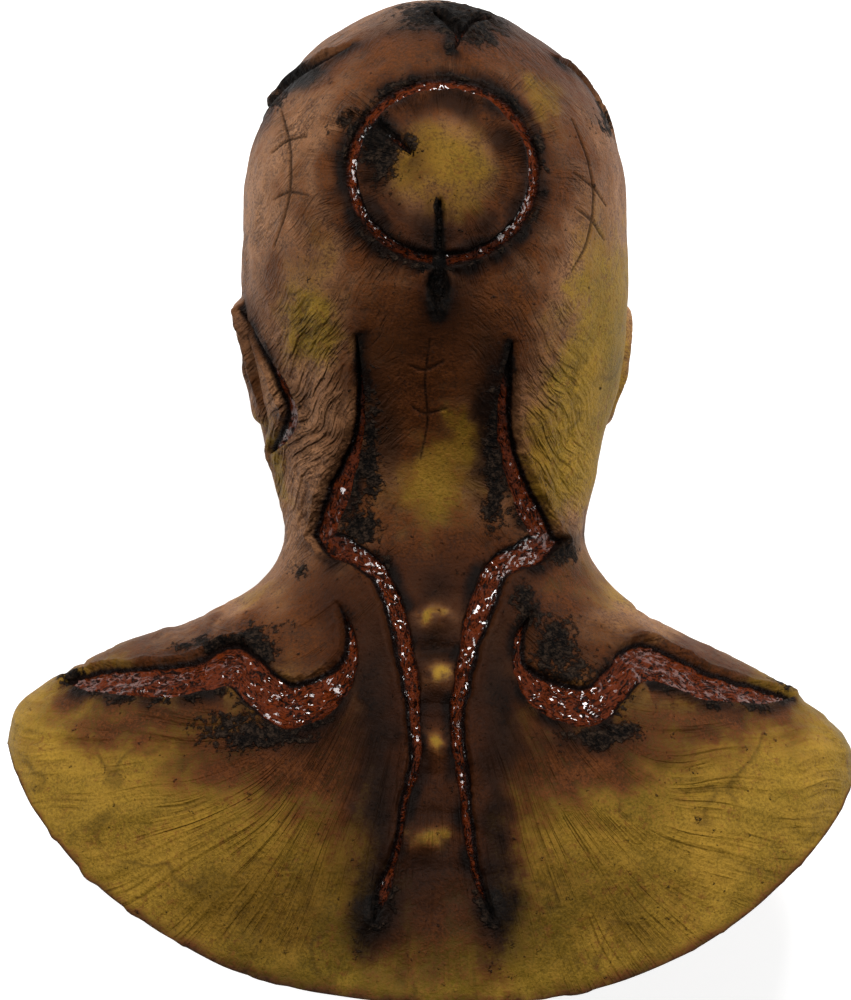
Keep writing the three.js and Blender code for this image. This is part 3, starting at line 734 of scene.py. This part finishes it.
# A thin brown wash over the paint, as the spots above
washed = [(3, 361, 52, 48, 0.7), (0, 305, 66, 36, 0.35), (0, 255, 38, 62, 0.72), (0, 188, 46, 24, 0.55),
          (0, 130, 50, 66, 0.8), (0, 66, 42, 30, 0.45), (-65, 50, 50, 34, 0.6), (62, 50, 52, 32, 0.4),
          (0, 428, 80, 26, 0.5), (-95, 156, 66, 17, 0.5), (98, 152, 66, 16, 0.5), (52, 404, 16, 18, 0.55),
          *both((46, 180, 26, 24, 0.5)), (60, 385, 26, 40, 0.35), (-62, 340, 24, 40, 0.25), (-80, 120, 54, 16, 0.65),
          (84, 118, 54, 15, 0.6), (-110, 84, 90, 56, 0.26), (110, 84, 90, 56, 0.2)]
# Places where the brown and dark paint was wiped thin, and where the olive is darker: towards the bib's lower edge and
# on the ring's disc
wiped = [(0, 228, 17, 19, 0.8), (8, 252, 7, 12, 0.6), (-47, 297, 11, 16, 0.8), (6, 364, 22, 20, 0.8),
         (48, 393, 9, 16, 0.8), (-60, 245, 20, 52, 1), (64, 300, 14, 40, 0.7)]
deepOlive = [(-50, 50, 60, 34, 0.9), (62, 48, 56, 26, 0.55), (0, 15, 120, 12, 0.6), (3.5, 361, 30, 30, 0.5)]
# Width of the paint round the wounds, and how much less of it lies on the flap side
halos = {"brown": (21, 0.85), "dark": (7, 0.85), "char": (5, 0.9)}
# Where the wounds' edges are charred, and where soot lies in them
charred = [(3.5, 361, 56, 54, 1), (-28, 228, 13, 40, 1), (27, 236, 10, 42, 1), (48, 236, 12, 44, 1),
           (112, 133, 52, 9, 1), (-112, 135, 52, 9, 1), (-66, 126, 20, 8, 0.8), (66, 150, 16, 12, 0.7),
           (8, 426, 40, 12, 1), *both((24, 52, 10, 16, 1)), (-80, 275, 20, 40, 0.4)]
soot = [(2, 330, 3, 20, 1), (1.5, 308, 7, 13, 1), (-24, 378, 12, 8, 0.9), (6, 430, 16, 8, 0.8), (-26, 50, 6, 10, 0.9),
        (25, 52, 6, 10, 0.9), (-32, 282, 3, 16, 0.9), (32, 280, 3, 14, 0.9), (-60, 407, 18, 10, 0.9)]
# Rings of paint round the ring wound: how far from its centre, and how wide
ringPaint = {"dark": (35, 6), "brown": (32, 12), "darkInside": (29, 8)}
# Brown airbrush in the front's hollows, which also paints their shade: eyes, mouth, cheeks, collar, sides of the jaw
# and brow
frontBrownShade = [*both((32, 322, 19, 11, 0.9)), (0, 251, 26, 7, 0.7), *both((27, 268, 6, 16, 0.4)),
              (0, 198, 80, 20, 0.8), *both((60, 270, 14, 40, 0.35)), (0, 400, 70, 30, 0.6)]


def bare(spots, x, y, edge=1, dense=1):
    # the share of the skin that a set of spots leaves free
    left = np.ones(len(x))
    for cx, cy, rx, ry, strength in spots:
        r2 = ((x - cx) / rx) ** 2 + ((y - cy) / ry) ** 2
        left *= 1 - strength * np.exp(-(r2 ** edge) * dense)
    return left


def clipped(value, most=1.0):
    return np.clip(value, 0, most)


def painted(points, facing, level, inside, under):
    x, y = points[:, 0], points[:, 1]
    warp = np.stack([middle.noise(points + shift, 19, 4, 0.65) for shift in (0, 71, 143)], -1) * 17
    p, q = points + warp, points + warp * 0.5
    px, py = p[:, 0], p[:, 1]
    turning, onBack = smooth(facing * 2 + 0.6), facing > 0
    out = {}
    for name, spots in paintSpots.items():
        at = p if name in ("olive", "brown") else q
        out[name] = (1 - bare(spots, at[:, 0], at[:, 1], 1.05, 0.85)) * turning

    def raised(name, value):
        out[name] = np.maximum(out[name], value)

    outside, uneven = np.clip(-inside, 0, None), 0.85 + 0.5 * middle.noise(points, 12)
    for name, (width, shy) in halos.items():
        halo = bell(outside, 0, width * (1 - 0.4 * under)) * uneven
        halo = halo * (1 - shy * under)
        if name == "char":
            halo = halo * smooth(0.5 + 1.6 * middle.noise(points + 55, 7, 3)) * 1.2 * clipped(bumps(charred, x, y))
        raised(name, clipped(halo) * 0.95)
    out["char"] = out["char"] * smooth(0.85 + 0.9 * fine.noise(points, 5, 4, 0.65))
    # paler olive over each knob, set towards its upper side, with less brown, dark and wash over it: a painted
    # highlight on the knobs' tops
    knob = clipped(bumps([(kx, ky + 1.5, 6.5, 5, 1) for kx, ky in knobs], px, y) * onBack * 1.1)
    raised("olive", knob * 0.8)
    thin = 1 - clipped(bumps(wiped, px, py))
    out["brown"] = out["brown"] * (1 - knob * 0.6) * mix(0.12, 1, thin)
    out["dark"] = out["dark"] * (1 - knob * 0.9) * mix(0.3, 1, thin)
    # the cut edge of the hem is darker
    hemFar = (hem - level) * 45 + 3 * middle.noise(points, 12, 2)
    raised("brown", 0.75 * bell(hemFar, 0, 6))
    raised("dark", 0.75 * bell(hemFar, 0, 2.5))
    out["deep"] = bumps(deepOlive, px, py)
    out["wash"] = (1 - bare(washed, px, py) * (1 - 0.5 * bell(outside, 0, 9))) * turning
    out["wash"] = out["wash"] * (1 - 0.9 * knob) * mix(0.75, 1, thin)
    ringX, ringY = wounds["ring"]["centre"]
    rings = {name: bell(np.hypot(x - ringX, y - ringY), *ring) * onBack for name, ring in ringPaint.items()}
    raised("dark", clipped(rings["dark"] * (0.65 + 0.8 * middle.noise(points, 16)), 0.8))
    raised("brown", 0.95 * rings["brown"])
    raised("dark", clipped(rings["darkInside"] * (0.45 + 0.7 * middle.noise(points + 9, 14)), 0.7))
    out["soot"] = bumps(soot, x, y) * onBack
    # the front is plainer: olive with brown airbrush in its hollows, which also paints their shade
    front = smooth(-facing * 2 - 0.05 + 0.5 * broad.noise(points, 26) + 0.15 * middle.noise(points, 8))
    out["olive"] = mix(out["olive"], 0.75 + 0.5 * broad.noise(points, 40), front)
    out["brown"] = mix(out["brown"], clipped(bumps(frontBrownShade, px, py)), front)
    return {name: clipped(value) for name, value in out.items()}


# Building the mask
def boundaryLoops(faces):
    heads, tails = faces.reshape(-1), faces[:, [1, 2, 0]].reshape(-1)
    lone = ~np.isin(heads * manyPoints + tails, tails * manyPoints + heads)
    nextOf = dict(zip(heads[lone].tolist(), tails[lone].tolist()))
    loops = []
    while nextOf:
        start = next(iter(nextOf))
        loop, at = [start], nextOf.pop(start)
        while at != start:
            loop.append(at)
            at = nextOf.pop(at)
        loops.append(loop)
    return loops


def zipped(outerLoop, innerLoop, keyOf):
    # closes the gap between a rim of the outside and the same rim of the inside
    def ordered(loop):
        keys = np.unwrap([keyOf(v) for v in loop])
        if keys[-1] < keys[0]:
            loop, keys = loop[::-1], keys[::-1]
        start = int(np.argmin(np.mod(keys, 2 * math.pi)))
        loop = list(loop[start:]) + list(loop[:start])
        keys = np.unwrap([keyOf(v) for v in loop])
        keys = keys - 2 * math.pi * math.floor(keys[0] / (2 * math.pi))
        return loop + [loop[0]], [*keys, keys[0] + 2 * math.pi]
    a, keyA = ordered(outerLoop)
    b, keyB = ordered(innerLoop)
    return stitched(a, b, keyA, keyB), a[0] == outerLoop[(outerLoop.index(a[1]) - 1) % len(outerLoop)]


def hemWander(places, points):
    # the hem was trimmed by hand and wanders a little
    rim = rising(places[:, 2], hem - 1.2, 1.2)
    around = np.stack([places[:, 0] * 60, places[:, 1] * 60, np.zeros(len(places))], -1)
    amount = 1.5 * broad.noise(around, 16, 2) + 0.7 * np.clip(fine.noise(around, 3.5) - 0.25, 0, 1) * 3
    down = unit(np.stack([0.5 * places[:, 0], -np.ones(len(places)), np.zeros(len(places))], -1))
    return down * (rim * amount)[:, None]


def rimFaces(everyPlace, everyPoint, outerLoops, innerLoops):
    # joins the outside to the inside at the hem and at each opening
    def isHem(loop):
        return everyPlace[loop, 2].min() > hem - 0.001

    def hemKey(v):
        return math.atan2(everyPlace[v, 0], everyPlace[v, 1])

    rims = [(isHem, hemKey)]
    for cx, cy, width, height in openings.values():
        def isLens(loop, centre=(cx, cy)):
            near = np.hypot(*(everyPoint[loop, :2].mean(0) - centre)) < 6
            return near and everyPlace[loop, 2].max() < hem - 1

        def lensKey(v, centre=(cx, cy), size=(width, height)):
            dx, dy = everyPoint[v, :2] - centre
            return math.atan2(dy * size[0] / size[1], dx)
        rims.append((isLens, lensKey))
    seams = []
    for match, keyOf in rims:
        outerLoop, innerLoop = (next(loop for loop in loops if match(loop)) for loops in (outerLoops, innerLoops))
        strip, along = zipped(outerLoop, innerLoop, keyOf)
        seams.append(np.array(strip)[:, ::-1] if along else np.array(strip))
    return seams


def maskMesh():
    places, faces = refined(*coarseSheet(60, 7, 2), outerPoint, outerSize)
    print("outside refined:", len(faces), "triangles")

    def insideAt(q, shift=0):
        return woundInside(outerPoint(q), outwards(q), q[:, 1]) - shift

    places, faces, _ = cutAlong(places, faces, insideAt)
    places, faces, _ = cutAlong(places, faces, lambda q: insideAt(q, wounds["wallWidth"]))
    places, faces = lensRemoved(places, faces, outerPoint)
    print("outside cut:", len(faces), "triangles")
    points, normal = outerPoint(places), outwards(places)
    wide, under, course = woundField(points, normal, places[:, 1], reach=45)
    paint = painted(points, places[:, 1], places[:, 2], wide, under)
    stroke = strokeInside(points, normal, places[:, 1])
    rise, furrow = relief(places, points, wide, under, course, stroke, paint)
    rim = rising(places[:, 2], hem - 0.5, 0.5)
    moved = points + normal * (rise * (1 - 0.7 * rim))[:, None] + hemWander(places, points)
    moved = lifted(moved, np.zeros(len(moved)))
    inPlaces, inFaces = refined(*coarseSheet(36, 5, 1), innerPoint, innerSize)
    inPlaces, inFaces = lensRemoved(inPlaces, inFaces, innerPoint)
    inPoints = innerPoint(inPlaces)
    count, extra = len(moved), len(inPoints)
    everyPlace = np.vstack([places, inPlaces])
    everyPoint = np.vstack([moved, inPoints + hemWander(inPlaces, inPoints)])
    inFaces = inFaces[:, ::-1] + count
    outerLoops, innerLoops = boundaryLoops(faces), boundaryLoops(inFaces)
    print("rims:", [len(v) for v in outerLoops], [len(v) for v in innerLoops])
    allFaces = np.vstack([faces, inFaces, *rimFaces(everyPlace, everyPoint, outerLoops, innerLoops)])
    # what the material reads: on the inside each layer has its value at rest
    # the crease depth here is darkened in the material as painted shade
    outerLayers = {"inside": (wide, -30), "stroke": (stroke, -30), "under": (under, 0), "creaseShade": (furrow, 0)}
    outerLayers.update({name: (value, 0) for name, value in paint.items()})
    layers = {name: np.append(value, np.full(extra, rest)) for name, (value, rest) in outerLayers.items()}
    layers["lining"] = np.append(np.zeros(count), np.ones(extra))
    (layers["fanFlow"], layers["ringFlow"], layers["sideFlow"]), shares = foldFlows(everyPoint, everyPlace[:, 1])
    layers["folds"] = np.stack(shares, -1)
    layers["loose"] = looseness(everyPoint, everyPlace[:, 1])
    layers["course"] = np.zeros((count + extra, 3))
    layers["course"][:count, :2] = course * (1, strandStretch)
    layers["mask"] = everyPoint
    return everyPoint, allFaces, layers


points, faces, layers = maskMesh()
edges, edgeOf = edgesOf(faces)
uses = np.bincount(edgeOf.reshape(-1), minlength=len(edges))
print("mask:", len(faces), "triangles,", int((uses != 2).sum()), "open edges")


def meshPiece(name, points, faces, layers):
    mesh = bpy.data.meshes.new(name)
    mesh.from_pydata(points.tolist(), [], faces.tolist())
    mesh.polygons.foreach_set("use_smooth", np.ones(len(mesh.polygons), bool))
    for key, values in layers.items():
        kind = "FLOAT" if values.ndim == 1 else "FLOAT_VECTOR"
        layer = mesh.attributes.new(key, kind, "POINT")
        layer.data.foreach_set("value" if kind == "FLOAT" else "vector", values.astype(np.float32).ravel())
    mesh.update()
    piece = bpy.data.objects.new(name, mesh)
    bpy.context.scene.collection.objects.link(piece)
    return piece


mask = meshPiece("silicone_mask", laidDown(points), faces, layers)


# Shader helpers
class Link:
    # a socket of a material; sums, products and the like of links add their Math nodes
    def __init__(self, paint, socket):
        self.paint, self.socket = paint, socket

    def maths(self, operation, a, b):
        return self.paint.node("ShaderNodeMath", {"operation": operation}, {0: a, 1: b})

    def __add__(self, other):
        return self.maths("ADD", self, other)

    def __sub__(self, other):
        return self.maths("SUBTRACT", self, other)

    def __rsub__(self, other):
        return self.maths("SUBTRACT", other, self)

    def __mul__(self, other):
        return self.maths("MULTIPLY", self, other)

    def away(self, centre):
        return self.maths("ABSOLUTE", self - centre, 0)

    __radd__, __rmul__ = __add__, __mul__

    def ramp(self, low, high):
        return self.paint.node("ShaderNodeMapRange", {"interpolation_type": "SMOOTHSTEP", "clamp": True},
                               {"Value": self, "From Min": low, "From Max": high})

    def lines(self, thin):
        # 1 along the lines where a noise passes its middle, and 0 beside them
        return (1 - self.away(0.5) * thin).ramp(0, 1)


class Paint:
    def __init__(self, name):
        self.material = bpy.data.materials.new(name)
        self.material.use_nodes = True
        self.tree = self.material.node_tree
        self.tree.nodes.clear()

    def node(self, kind, settings=None, sockets=None, out=0):
        made = self.tree.nodes.new(kind)
        for key, value in (settings or {}).items():
            setattr(made, key, value)
        for key, value in (sockets or {}).items():
            if isinstance(value, Link):
                self.tree.links.new(value.socket, made.inputs[key])
            else:
                made.inputs[key].default_value = value
        return Link(self, made.outputs[out]) if made.outputs else made

    def layer(self, name, out="Fac"):
        return self.node("ShaderNodeAttribute", {"attribute_name": name}, out=out)

    def noise(self, vector, size, detail=3, rough=0.5, distortion=0):
        return self.node("ShaderNodeTexNoise", {}, {"Vector": vector, "Scale": 1 / size, "Detail": detail,
                                                    "Roughness": rough, "Distortion": distortion})

    def blend(self, factor, a, b, how="MIX"):
        return self.node("ShaderNodeMix", {"data_type": "RGBA", "blend_type": how, "clamp_factor": True},
                         {0: factor, 6: a, 7: b}, out=2)

    def finished(self, sockets):
        shader = self.node("ShaderNodeBsdfPrincipled", {}, sockets)
        self.node("ShaderNodeOutputMaterial", {}, {"Surface": shader})
        return self.material


def colour(red, green, blue):
    # display values from 0 to 255 as the shader's own
    linear = [v / 255 / 12.92 if v <= 10 else ((v / 255 + 0.055) / 1.055) ** 2.4 for v in (red, green, blue)]
    return (*linear, 1)


# the darkest flesh tone is painted shade and the palest is painted light on the flesh's strands
finish = {
    "oliveLight": (154, 120, 42), "oliveDeep": (84, 68, 12), "oliveRust": (106, 58, 28), "tanLight": (164, 120, 86),
    "tanDeep": (78, 50, 32), "brownLight": (104, 60, 27), "brownDeep": (42, 21, 7), "dark": (20, 10, 4),
    "char": (6, 4, 3), "ash": (48, 36, 27), "fleshRed": (66, 23, 3), "fleshShade": (12, 3, 1),
    "fleshLitTop": (90, 34, 6), "vein": (62, 46, 12), "lining": (128, 104, 66), "wash": (142, 116, 80),
}


def siliconeMaterial():
    m = Paint("painted_silicone")
    tone = {name: colour(*value) for name, value in finish.items()}
    mm, folding = m.layer("mask", "Vector"), m.layer("folds", "Vector")
    inside, under, loose, deep, char = (m.layer(name) for name in ("inside", "under", "loose", "deep", "char"))
    mottle = m.noise(mm, 7, 4, 0.65)
    stipple = m.noise(mm, 1.2, 3, 0.75)
    grain = (mottle - 0.5) * 1.5 + (stipple - 0.5) * 2.0
    # wrinkles along the three sets of folds: soft furrows, a few long thin lines, and streaks of paint
    wrinkles = []
    shares = [m.node("ShaderNodeSeparateXYZ", {}, {0: folding}, out=k) for k in range(3)]
    for share, (name, size, much) in zip(shares, (("fanFlow", 3.6, 0.6), ("ringFlow", 1.8, 1.6), ("sideFlow", 2.8, 1))):
        flow, share = m.layer(name, "Vector"), share * much
        longWave = m.noise(flow, size * 3.1, 1, 0.5)
        soft = m.noise(flow, size, 2, 0.6).lines(6)
        wrinkles.append((soft * share, longWave.lines(26) * share, (longWave - 0.5) * share))
    furrow, line, streak = (a + b + c for a, b, c in zip(*wrinkles))
    furrow = furrow * m.noise(mm, 18, 2).ramp(0.36, 0.66)
    line = line * m.noise(mm, 26, 1).ramp(0.5, 0.62)
    wide = m.noise(m.layer("fanFlow", "Vector"), 10, 2, 0.5, 1.2).lines(3.2) * shares[0]
    wide = wide * m.noise(mm, 34, 1).ramp(0.4, 0.6)
    heavy = m.noise(m.layer("sideFlow", "Vector"), 5.2, 2, 0.5).lines(7) * loose
    # darker in the creases, the heavy and wide folds and the ear's hollows: painted shade
    creaseShade = m.layer("creaseShade").ramp(0.3, 2.2) * (1 - loose * 0.5) + heavy * 0.22 + wide * 0.06
    shadedCreases = (furrow * 0.5 + creaseShade).ramp(0, 1) * (1 - loose * 0.6)
    # olive and tan under brown, dark and charred paint, darker in the creases and folds as painted shade
    tint = (grain * 0.8 + streak * 0.8 + 0.56 - deep * 0.3 - creaseShade * 0.3).ramp(0, 1)
    patches = (m.noise(mm, 34, 1) - 0.5) * 0.9
    oliveTint = (grain * 0.4 + streak * 0.45 + patches + 0.6 - deep * 0.25 - creaseShade * 0.3).ramp(0, 1)
    rust = m.noise(mm, 3.2, 3, 0.7).ramp(0.52, 0.66) * m.noise(mm, 20, 1).ramp(0.42, 0.6)
    olive = m.blend(rust * 0.5, m.blend(oliveTint, tone["oliveDeep"], tone["oliveLight"]), tone["oliveRust"])
    tan = m.blend(tint, tone["tanDeep"], tone["tanLight"])
    brown = m.blend(tint, tone["brownDeep"], tone["brownLight"])
    base = m.blend((m.layer("olive") + grain * 0.4).ramp(0.15, 0.75), tan, olive)
    veins = m.noise(mm, 44, 2).lines(36) * m.noise(mm, 22, 1).ramp(0.46, 0.6)
    base = m.blend(veins * m.layer("olive") * 0.5, base, tone["vein"])
    base = m.blend(shadedCreases * 0.6, base, brown)
    base = m.blend((m.layer("brown") + grain * 0.5 + streak * 0.8).ramp(0.15, 0.85), base, brown)
    # the creases and the thin wrinkle lines are darkened as painted shade; the dark spots are paint
    for dark in (shadedCreases * 0.4, line * 0.3, (m.layer("dark") + grain * 0.35 + streak * 0.4).ramp(0.2, 1)):
        base = m.blend(dark, base, tone["dark"])
    for thinned in (m.layer("wash"), (1 - stipple).ramp(0.4, 0.65) * 0.25):
        base = m.blend(thinned, base, tone["wash"], "MULTIPLY")
    crumbs = m.noise(mm, 2.6, 3, 0.7)
    charred = (char + (crumbs - 0.5) * 1.5 + (mottle - 0.5) * 0.8).ramp(0.26, 0.5)
    ash = m.blend((crumbs + (stipple - 0.5) * 0.6).ramp(0.42, 0.72), tone["char"], tone["ash"])
    base = m.blend(charred, base, ash)
    base = m.blend(m.layer("stroke").ramp(-0.6, 0.3) * 0.7, base, tone["dark"])
    # flesh: wet strands, deep red, with painted shade between the strands and painted light on their tops, and painted
    # shade along its edges and under the flaps
    strands = m.noise(m.layer("course", "Vector"), 2.8, 2, 0.5, 1.8).lines(7)
    cross = m.noise(mm, 3.0, 2, 0.5, 1.5).lines(7)
    lumps = m.noise(mm, 3.0, 2, 0.5)
    body = strands * 0.45 + cross * 0.2 + lumps * 0.5
    # darker between the strands and paler on their tops: painted shade in the crevices and painted light on the ridges
    redness = m.blend(body.ramp(0.28, 0.6), tone["fleshShade"], tone["fleshRed"])
    redness = m.blend(body.ramp(0.5, 0.8) * 0.7, redness, tone["fleshLitTop"])
    # darkened near the walls and more so on the flap side: painted shade of the walls and of the overhanging flaps
    redness = m.blend(1 - (inside - under * 1.5).ramp(0.4, 1.7), redness, tone["fleshShade"])
    flesh = (inside + (stipple - 0.5) * 0.5).ramp(0.15, 0.75)
    base = m.blend(flesh, base, redness)
    sooted = (m.layer("soot") + grain * 0.4).ramp(0.3, 0.75)
    base = m.blend(sooted, base, m.blend(0.3, tone["char"], ash))
    base = m.blend(m.layer("lining"), base, m.blend(grain + 0.5, tone["lining"], tone["tanDeep"]))
    wet = flesh * (1 - sooted * 0.8)
    gloss = wet * body.ramp(0.42, 0.62) * inside.ramp(1.3, 2.3) * mottle.ramp(0.38, 0.54) * 0.8
    skinHeight = mottle * 1.3 + stipple * 0.55 - furrow * 0.75 - line * 0.4 - heavy * 1.7 - wide * 1.3
    skinHeight = skinHeight + charred * (crumbs * 3.2 + stipple * 0.8)
    fleshHeight = strands * 0.42 + cross * 0.34 + lumps * 0.5 + stipple * 0.4
    height = skinHeight * (1 - flesh) + flesh * fleshHeight
    bump = m.node("ShaderNodeBump", {}, {"Height": height, "Distance": 0.001, "Strength": 1.0})
    return m.finished({"Base Color": base, "Roughness": 0.56 + grain * 0.1 + charred * 0.25 - wet * 0.2, "IOR": 1.41,
                       "Coat Weight": gloss, "Coat Roughness": 0.07, "Coat IOR": 1.5, "Specular IOR Level": 0.08,
                       "Normal": bump})


mask.data.materials.append(siliconeMaterial())
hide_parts("mask_skin")
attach(mask, "root")
print("mask painted")

# Floor, lights and camera: lights by place, size and power in metres and watts, the aim on the upright mask in mm
studio = {"floor": (200, 200, 200), "floorHalf": 6, "floorGlow": 0.7, "world": 0.12, "target": (0, 0, 0.1),
          "lights": {"key": ((0.3, 1.75, 2.05), 0.7, 72), "right": ((1.9, 0.3, 1.3), 1.0, 26),
                     "left": ((-1.5, 0.6, 1.8), 0.8, 36.4)},
          "sensor": 36, "cameraAbove": 1500, "aim": (-3.8, 222.6), "frameHeight": 447}


def plainMaterial(name, tone, rough, glow):
    return Paint(name).finished({"Base Color": colour(*tone), "Roughness": rough, "Emission Color": (1, 1, 1, 1),
                                 "Emission Strength": glow})


corners = np.array([(-1, -1, 0), (1, -1, 0), (1, 1, 0), (-1, 1, 0)], float) * studio["floorHalf"]
floorPiece = meshPiece("studio_floor", corners, np.array([(0, 1, 2), (0, 2, 3)]), {})
floorPiece.data.materials.append(plainMaterial("pale_floor", studio["floor"], 0.9, studio["floorGlow"]))


def directed(vector):
    # a direction of the upright mask, as it lies
    return Vector(laidDown(np.array(vector, float)) - laidDown(np.zeros(3))).normalized()


def areaLight(name, place, size, power):
    data = bpy.data.lights.new(name, "AREA")
    data.shape, data.size, data.energy = "SQUARE", size, power
    lamp = bpy.data.objects.new(name, data)
    bpy.context.scene.collection.objects.link(lamp)
    lamp.location = place
    lamp.rotation_euler = (Vector(studio["target"]) - Vector(place)).to_track_quat("-Z", "Y").to_euler()


for name, (place, size, power) in studio["lights"].items():
    areaLight(name, place, size, power)

world = bpy.data.worlds.new("studio")
world.use_nodes = True
background = world.node_tree.nodes["Background"]
background.inputs["Color"].default_value = (1, 1, 1, 1)
background.inputs["Strength"].default_value = studio["world"]
bpy.context.scene.world = world
bpy.context.scene.view_settings.view_transform = "Standard"

cameraData = bpy.data.cameras.new("photo_camera")
cameraData.sensor_width = studio["sensor"]
cameraData.lens = studio["sensor"] * studio["cameraAbove"] / studio["frameHeight"]
camera = bpy.data.objects.new("photo_camera", cameraData)
bpy.context.scene.collection.objects.link(camera)
turn = Matrix([directed(way) for way in ((1, 0, 0), (0, 1, 0), (0, 0, 1))]).transposed()
place = laidDown(np.array([*studio["aim"], studio["cameraAbove"]]))
camera.matrix_world = Matrix.Translation(place) @ turn.to_4x4()
bpy.context.scene.camera = camera
print("stage set")
